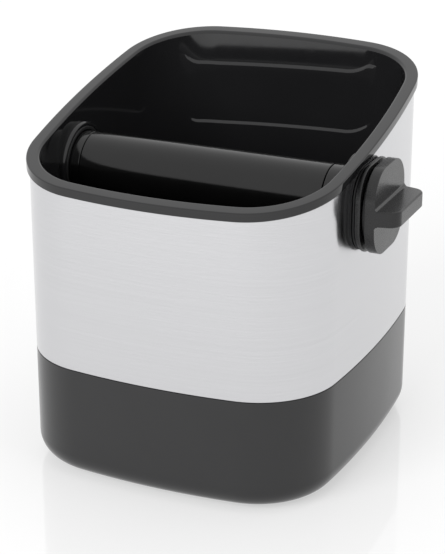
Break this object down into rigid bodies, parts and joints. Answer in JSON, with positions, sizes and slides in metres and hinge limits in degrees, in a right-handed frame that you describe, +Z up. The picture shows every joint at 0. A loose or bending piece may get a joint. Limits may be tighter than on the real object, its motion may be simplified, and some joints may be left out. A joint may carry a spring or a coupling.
{
  "type": "espresso knock box",
  "caption": "Free-standing knock box for used coffee pucks: steel banded tub with a sloping rim, moulded liner and a padded knock bar that turns and pulls out sideways.",
  "frame": {"origin": "centre of the base's flat underside; the feet stand 1 mm below it", "axes": "+Z up, +X to the right, where the knob is, +Y to the back, where the rim is highest"},
  "size_m": [0.155, 0.1536, 0.1586],
  "materials": {
    "brushed_steel": "horizontally brushed",
    "base_plastic": "fine satin",
    "bin_plastic": "glossy moulded",
    "knob_plastic": "fine satin",
    "bar_rubber": "smooth semi-gloss",
    "soft_rubber": "matte",
    "screw_steel": "bright machined"
  },
  "bodies": {
    "box": {"outer_sleeve": "brushed_steel", "base_shell": "base_plastic", "inner_bin": "bin_plastic", "socket_liner": "soft_rubber", "collar_ring": "knob_plastic", "collar_gasket": "soft_rubber", "collar_nut": "knob_plastic", "foot_1": "soft_rubber", "foot_2": "soft_rubber", "foot_3": "soft_rubber", "foot_4": "soft_rubber", "base_screw_1": "screw_steel", "base_screw_2": "screw_steel", "base_screw_3": "screw_steel", "base_screw_4": "screw_steel"},
    "seal": {"face_seal": "soft_rubber"},
    "bar": {"bar_core": "screw_steel", "bar_rubber": "bar_rubber", "bar_end_cap": "knob_plastic", "bar_end_screw": "screw_steel", "bar_hub": "knob_plastic", "hub_washer": "screw_steel", "hub_screw": "screw_steel", "knob": "knob_plastic"}
  },
  "joints": [
    {"name": "bar_pull", "type": "slide", "parent": "box", "child": "seal", "axis": [1, 0, 0], "range_m": [0, 0.14]},
    {"name": "bar_turn", "type": "hinge", "parent": "seal", "child": "bar", "pos_m": [0.06, -0.0135, 0.1153], "axis": [-1, 0, 0], "range_deg": [0, 90]}
  ]
}
